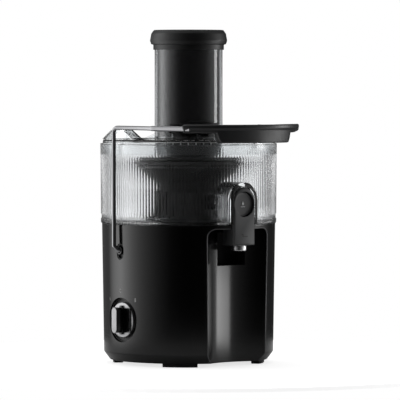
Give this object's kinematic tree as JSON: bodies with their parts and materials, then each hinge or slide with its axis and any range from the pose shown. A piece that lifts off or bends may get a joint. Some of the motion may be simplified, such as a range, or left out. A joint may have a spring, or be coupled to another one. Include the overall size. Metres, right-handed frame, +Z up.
{
  "type": "centrifugal juicer",
  "caption": "Compact centrifugal juicer with a clear ribbed pulp ring and lid, wide feed chute with pusher, wire locking bail, drip-stop spout over a glass bay and rotary switch.",
  "frame": {"origin": "middle of the whole machine's footprint, on the surface it stands on; the spin axis is at x 0.0004, y 0.0185", "axes": "+Z up along the spin axis, -Y towards the spout and the glass bay, -X towards the rotary switch"},
  "size_m": [0.2258, 0.2504, 0.402],
  "materials": {
    "black_gloss": "polished black",
    "black_matte": "fine matte",
    "charcoal": "fine moulded grain",
    "grey_satin": "satin dark grey",
    "pale_grey": "satin",
    "clear": "clear, polished",
    "smoke": "dark, polished",
    "silver": "satin silver",
    "chrome": "bright chrome",
    "steel": "bright steel",
    "laminate": "stamped laminations",
    "copper": "enamelled copper",
    "rubber": "moulded rubber",
    "nylon": "natural nylon",
    "board": "solder mask",
    "carbon": "pressed carbon"
  },
  "bodies": {
    "base": {"motor_housing": "black_gloss", "bottom_cover": "black_matte", "foot_front_left": "rubber", "foot_front_right": "rubber", "foot_rear_left": "rubber", "foot_rear_right": "rubber", "base_screw_1": "steel", "base_screw_2": "steel", "base_screw_3": "steel", "base_screw_4": "steel", "knob_bezel": "black_matte", "speed_switch": "nylon", "pivot_bush_left": "black_matte", "pivot_bush_right": "black_matte", "control_board": "board", "interlock_switch": "black_matte", "cord_inlet": "rubber", "motor_mount_ring": "rubber", "motor_upper_bracket": "laminate", "motor_lower_bracket": "laminate", "upper_bearing": "steel", "lower_bearing": "steel", "shaft_seal": "rubber", "stator_core": "laminate", "field_coil_left": "copper", "field_coil_right": "copper", "brush_holder_front": "nylon", "brush_holder_rear": "nylon", "carbon_brush_front": "carbon", "carbon_brush_rear": "carbon", "pulp_ring": "clear", "juice_bowl": "smoke", "spout_housing": "smoke", "spout_cover": "grey_satin", "spout_nozzle": "silver", "lid": "clear", "feed_chute": "clear", "pulp_floor": "clear", "juice_trough": "smoke"},
    "rotor": {"motor_shaft": "steel", "armature_core": "laminate", "commutator": "copper", "cooling_fan": "nylon", "drive_coupler": "nylon", "basket_hub": "smoke", "filter_basket": "steel", "basket_rim": "smoke", "grating_disc": "steel"},
    "bail": {"bail_arm_left": "chrome", "bail_arm_right": "chrome", "bail_grip": "grey_satin"},
    "knob": {"knob_disc": "silver", "knob_bar": "black_gloss", "knob_inlay": "pale_grey", "knob_shaft": "steel"},
    "drip_valve": {"drip_button": "grey_satin", "valve_seal": "rubber", "valve_spring": "steel"},
    "pusher": {"pusher": "black_gloss", "pusher_cap": "charcoal"}
  },
  "joints": [
    {"name": "bail_swing", "type": "hinge", "parent": "base", "child": "bail", "pos_m": [0.0004, 0.0185, 0.138], "axis": [1, 0, 0], "range_deg": [0, 85]},
    {"name": "knob_turn", "type": "hinge", "parent": "base", "child": "knob", "pos_m": [-0.0971, 0.0185, 0.055], "axis": [-1, 0, 0], "range_deg": [-45, 45]},
    {"name": "drip_button", "type": "slide", "parent": "base", "child": "drip_valve", "axis": [0, 1, 0], "range_m": [0, 0.0035], "stiffness_N_per_m": 600, "springref_m": -0.002, "deforming": ["valve_spring"]},
    {"name": "pusher_lift", "type": "slide", "parent": "base", "child": "pusher", "axis": [0, 0, 1], "range_m": [0, 0.15]},
    {"name": "rotor_spin", "type": "hinge", "parent": "base", "child": "rotor", "pos_m": [0.0004, 0.0185, 0.2], "axis": [0, 0, 1], "continuous": true}
  ]
}
